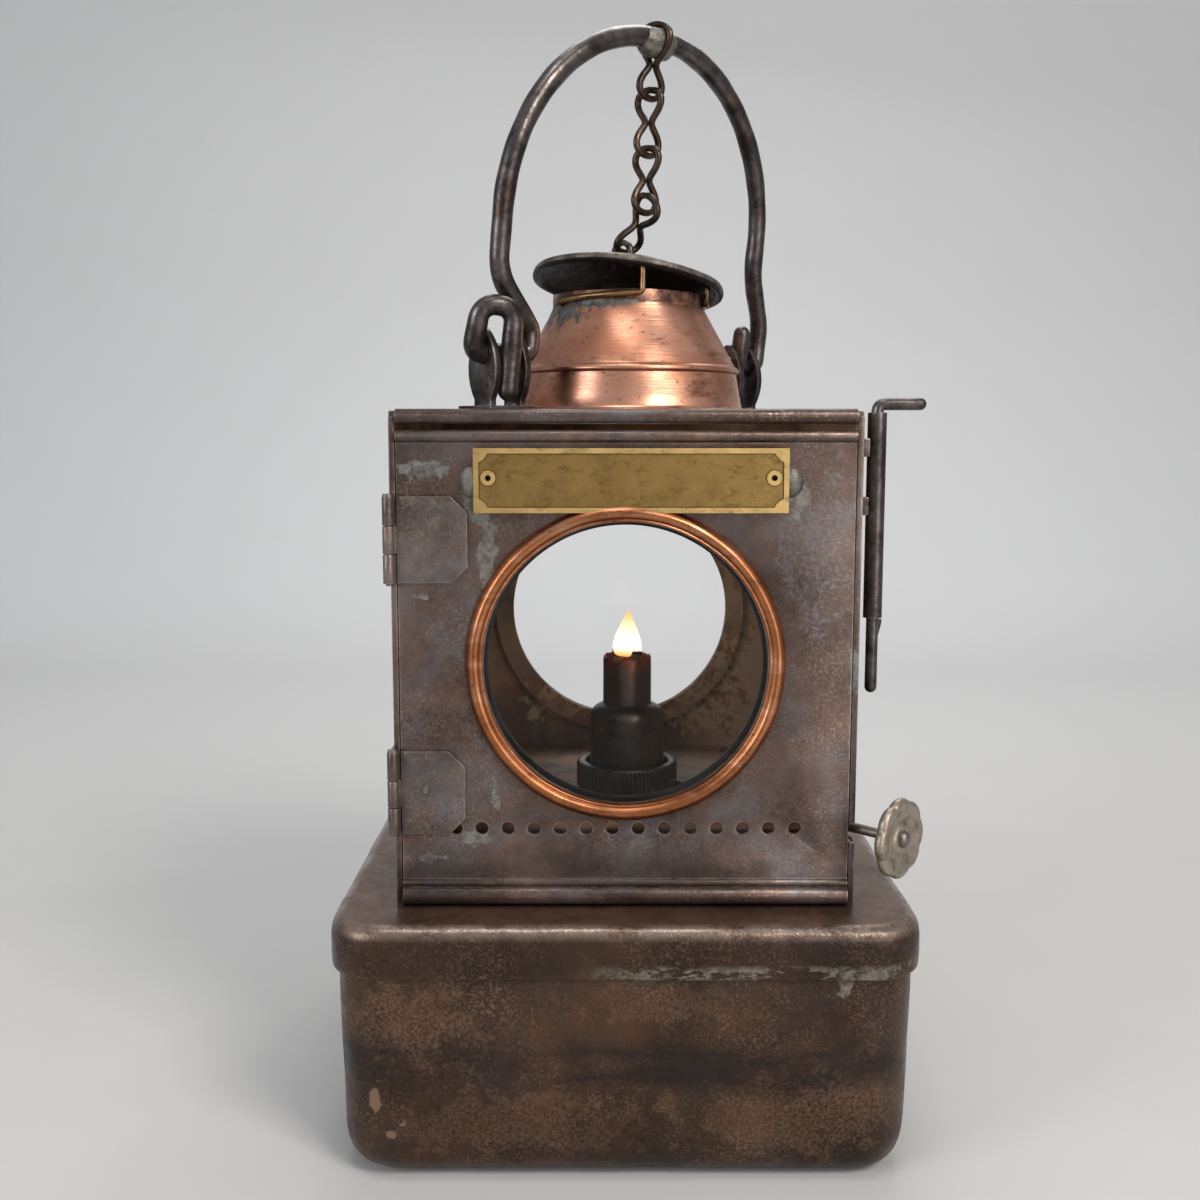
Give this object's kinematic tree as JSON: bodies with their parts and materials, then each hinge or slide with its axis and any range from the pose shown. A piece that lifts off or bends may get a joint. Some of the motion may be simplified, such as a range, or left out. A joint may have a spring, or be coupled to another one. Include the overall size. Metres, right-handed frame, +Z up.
{
  "type": "oil lamp",
  "caption": "Square railway oil lamp with a tank base, a ringed round window, a copper chimney under a tilted cap, and a diagonal bail with a short chain.",
  "frame": {"origin": "centre of the tank's flat underside, where the lamp rests", "axes": "+Z up; the windowed front faces -Y; +X is to the right seen from the front, on the side of the wick knob and the drop bolt"},
  "size_m": [0.1651, 0.1634, 0.3235],
  "materials": {
    "rusted_steel": "matte",
    "forged_iron": "satin",
    "blackened_steel": "satin",
    "steel_hardware": "satin",
    "copper": "satin",
    "old_brass": "satin",
    "plate_brass": "satin",
    "brass_wire": "satin",
    "solder": "matte",
    "knob_metal": "satin",
    "window_glass": "polished",
    "cotton_wick": "matte"
  },
  "bodies": {
    "lamp_body": {"tank_pan": "rusted_steel", "tank_cover": "rusted_steel", "burner_neck": "old_brass", "inner_floor": "rusted_steel", "floor_rivets": "steel_hardware", "side_wall_left": "rusted_steel", "side_wall_right": "rusted_steel", "back_wall": "rusted_steel", "roof_plate": "rusted_steel", "rear_glass": "window_glass", "rear_ring": "rusted_steel", "chimney_collar": "copper", "chimney_cone": "copper", "chimney_wires": "brass_wire", "chimney_cap": "blackened_steel", "cap_staple": "blackened_steel", "ear_left": "forged_iron", "ear_right": "forged_iron", "ear_rivets": "steel_hardware", "hinge_leaf_upper": "rusted_steel", "hinge_leaf_lower": "rusted_steel", "hinge_pins": "steel_hardware", "bolt_tube": "forged_iron", "bolt_brackets": "forged_iron", "burner_collar": "old_brass", "burner_body": "old_brass", "wick_tube": "old_brass", "shaft_bush": "old_brass"},
    "door": {"front_panel": "rusted_steel", "strap_upper": "rusted_steel", "strap_lower": "rusted_steel", "strap_rivet": "steel_hardware", "nameplate": "plate_brass", "plate_solder": "solder", "front_bezel": "copper", "front_glass": "window_glass", "glass_ring": "rusted_steel"},
    "bail": {"bail": "forged_iron", "chain_link_1": "forged_iron", "chain_solder": "solder"},
    "chain_upper": {"chain_link_2": "forged_iron", "chain_link_3": "forged_iron"},
    "chain_lower": {"chain_link_4": "forged_iron"},
    "drop_bolt": {"bolt_rod": "forged_iron", "bolt_tang": "forged_iron"},
    "wick_drive": {"wick_shaft": "steel_hardware", "wick_knob": "knob_metal", "knob_screw": "steel_hardware", "spur_wheel": "old_brass"},
    "wick": {"wick": "cotton_wick"}
  },
  "joints": [
    {"name": "door_swing", "type": "hinge", "parent": "lamp_body", "child": "door", "pos_m": [-0.0636, -0.0663, 0.141], "axis": [0, 0, -1], "range_deg": [0, 100]},
    {"name": "bail_swing", "type": "hinge", "parent": "lamp_body", "child": "bail", "pos_m": [0.0016, -0.0053, 0.2265], "axis": [0.7071, 0.7071, 0], "range_deg": [-20, 10]},
    {"name": "chain_upper_swing", "type": "hinge", "parent": "bail", "child": "chain_upper", "pos_m": [0.00756, -0.01437, 0.30208], "axis": [0.7071, 0.7071, 0], "range_deg": [-17, 9]},
    {"name": "chain_lower_swing", "type": "hinge", "parent": "lamp_body", "child": "chain_lower", "pos_m": [0.00019, -0.007, 0.2589], "axis": [0.7071, 0.7071, 0], "range_deg": [-29, 15]},
    {"name": "bolt_lift", "type": "slide", "parent": "lamp_body", "child": "drop_bolt", "axis": [0, 0, 1], "range_m": [0, 0.02]},
    {"name": "knob_turn", "type": "hinge", "parent": "lamp_body", "child": "wick_drive", "pos_m": [0.00412, -0.00262, 0.0946], "axis": [0.7282, -0.6853, 0], "range_deg": [-85, 170]},
    {"name": "wick_lift", "type": "slide", "parent": "lamp_body", "child": "wick", "axis": [0, 0, 1], "range_m": [-0.0079, 0.004]}
  ],
  "couplings": [
    {"joint": "chain_upper_swing", "follows": "bail_swing", "ratio": 0.8},
    {"joint": "chain_lower_swing", "follows": "bail_swing", "ratio": 1.4},
    {"joint": "wick_lift", "follows": "knob_turn", "m_per_rad": -0.0026}
  ]
}
